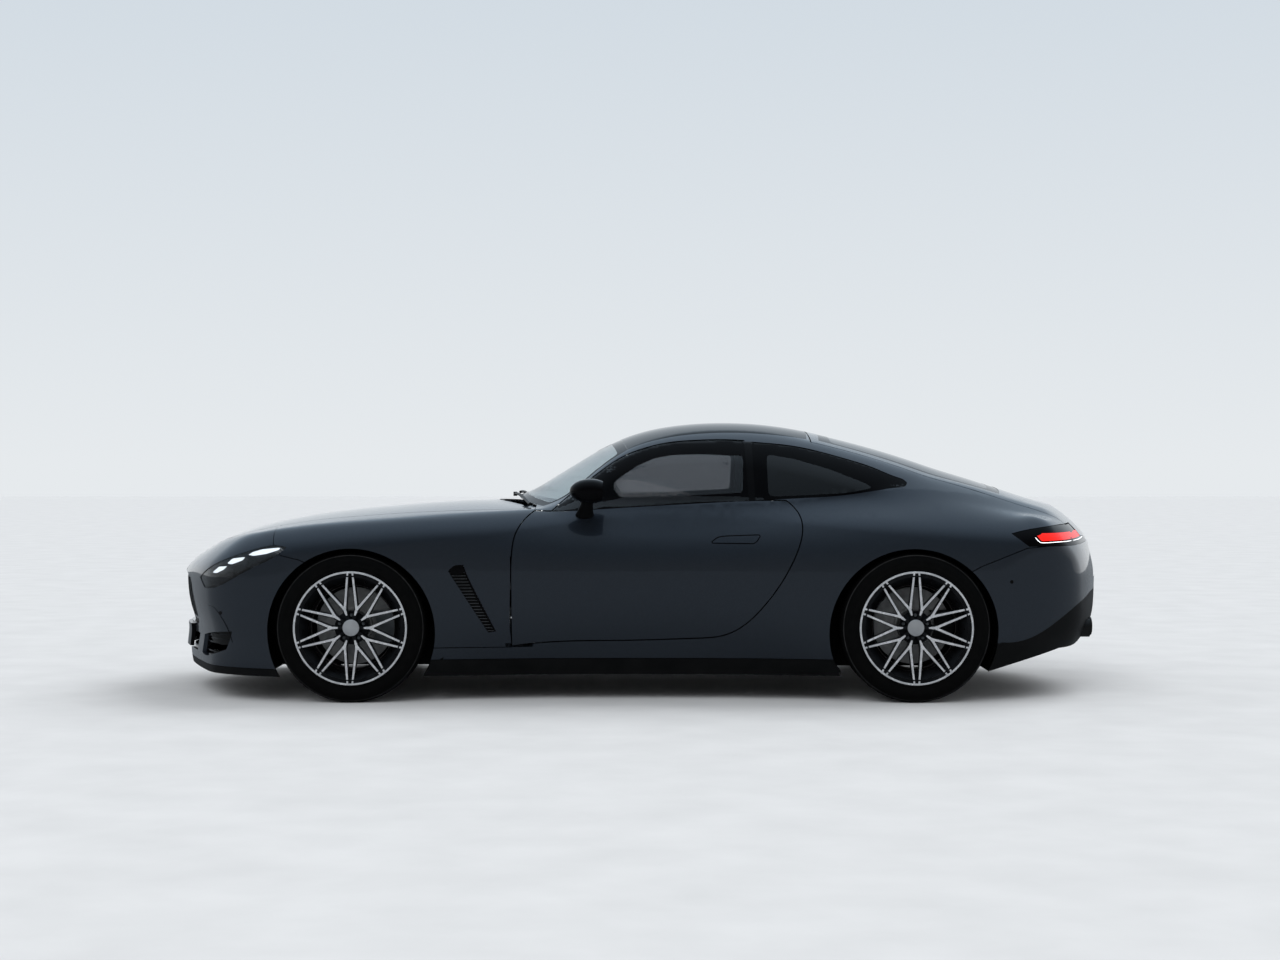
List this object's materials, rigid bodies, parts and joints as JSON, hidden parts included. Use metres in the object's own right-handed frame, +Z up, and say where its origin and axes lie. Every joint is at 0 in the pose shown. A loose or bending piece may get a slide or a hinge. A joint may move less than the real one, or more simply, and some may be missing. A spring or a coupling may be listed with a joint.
{
  "type": "two-door coupe car",
  "caption": "Two-door coupe with a long bonnet, hinged doors, bonnet and tailgate, steered front wheels, spinning wheels and a furnished cabin.",
  "frame": {"origin": "on the ground under the middle of the overall length, in the middle of the width", "axes": "+X towards the tail, +Y towards the car's right side, +Z up"},
  "size_m": [4.7263, 2.1244, 1.3541],
  "materials": {
    "paint": "metallic gloss",
    "gloss_black": "gloss",
    "trim_black": "satin",
    "clear_lens": "clear",
    "dark_glass": "tinted",
    "grey_glass": "lightly tinted",
    "lamp_inner": "satin",
    "red_lens": "gloss",
    "interior": "fine grain",
    "metal_dark": "rough",
    "aluminium": "cast",
    "rim_metal": "machined",
    "tyre": "matte",
    "disc_metal": "turned",
    "exhaust_metal": "brushed"
  },
  "bodies": {
    "body": {"front_bumper": "paint", "grille": "gloss_black", "front_fenders": "paint", "headlamps": "lamp_inner", "headlamp_lenses": "clear_lens", "windscreen": "grey_glass", "roof_panel": "gloss_black", "body_side_left": "paint", "body_side_right": "paint", "quarter_windows": "dark_glass", "rear_bumper": "paint", "tail_lamps": "red_lens", "lower_trim": "trim_black", "underbody": "trim_black", "bulkheads": "metal_dark", "arch_liners": "trim_black", "seats": "interior", "dashboard": "interior", "engine_block": "metal_dark", "radiator": "metal_dark", "suspension": "metal_dark", "wipers": "trim_black", "exhaust": "exhaust_metal"},
    "bonnet": {"bonnet": "paint"},
    "tailgate": {"tailgate": "paint", "rear_window": "dark_glass"},
    "door_left": {"door_left": "paint", "door_window_left": "grey_glass", "mirror_left": "gloss_black"},
    "door_right": {"door_right": "paint", "door_window_right": "grey_glass", "mirror_right": "gloss_black"},
    "steering_wheel": {"steering_wheel": "interior"},
    "knuckle_left": {"knuckle_left": "aluminium"},
    "knuckle_right": {"knuckle_right": "aluminium"},
    "wheel_front_left": {"rim_front_left": "rim_metal", "tyre_front_left": "tyre", "disc_front_left": "disc_metal"},
    "wheel_front_right": {"rim_front_right": "rim_metal", "tyre_front_right": "tyre", "disc_front_right": "disc_metal"},
    "wheel_rear_left": {"rim_rear_left": "rim_metal", "tyre_rear_left": "tyre", "disc_rear_left": "disc_metal"},
    "wheel_rear_right": {"rim_rear_right": "rim_metal", "tyre_rear_right": "tyre", "disc_rear_right": "disc_metal"}
  },
  "joints": [
    {"name": "bonnet_hinge", "type": "hinge", "parent": "body", "child": "bonnet", "pos_m": [-0.55176, 0, 0.92478], "axis": [0, 1, 0], "range_deg": [0, 45]},
    {"name": "tailgate_hinge", "type": "hinge", "parent": "body", "child": "tailgate", "pos_m": [0.85057, 0, 1.30742], "axis": [0, -1, 0], "range_deg": [0, 60]},
    {"name": "door_left_hinge", "type": "hinge", "parent": "body", "child": "door_left", "pos_m": [-0.57606, -0.92, 0.6], "axis": [0, 0, -1], "range_deg": [0, 65]},
    {"name": "door_right_hinge", "type": "hinge", "parent": "body", "child": "door_right", "pos_m": [-0.57606, 0.92, 0.6], "axis": [0, 0, 1], "range_deg": [0, 65]},
    {"name": "knuckle_left_steer", "type": "hinge", "parent": "body", "child": "knuckle_left", "pos_m": [-1.382, -0.715, 0.357], "axis": [0, 0, 1], "range_deg": [-35, 35]},
    {"name": "knuckle_right_steer", "type": "hinge", "parent": "body", "child": "knuckle_right", "pos_m": [-1.382, 0.715, 0.357], "axis": [0, 0, 1], "range_deg": [-35, 35]},
    {"name": "steering_wheel_turn", "type": "hinge", "parent": "body", "child": "steering_wheel", "pos_m": [-0.1513, -0.375, 0.8124], "axis": [-0.9272, 0, -0.3746], "range_deg": [-455, 455]},
    {"name": "wheel_front_left_spin", "type": "hinge", "parent": "knuckle_left", "child": "wheel_front_left", "pos_m": [-1.382, -0.841, 0.357], "axis": [0, 1, 0], "continuous": true},
    {"name": "wheel_front_right_spin", "type": "hinge", "parent": "knuckle_right", "child": "wheel_front_right", "pos_m": [-1.382, 0.841, 0.357], "axis": [0, 1, 0], "continuous": true},
    {"name": "wheel_rear_left_spin", "type": "hinge", "parent": "body", "child": "wheel_rear_left", "pos_m": [1.318, -0.8415, 0.357], "axis": [0, 1, 0], "continuous": true},
    {"name": "wheel_rear_right_spin", "type": "hinge", "parent": "body", "child": "wheel_rear_right", "pos_m": [1.318, 0.8415, 0.357], "axis": [0, 1, 0], "continuous": true}
  ],
  "couplings": [
    {"joint": "knuckle_right_steer", "follows": "knuckle_left_steer", "ratio": 1},
    {"joint": "steering_wheel_turn", "follows": "knuckle_left_steer", "ratio": 13}
  ]
}
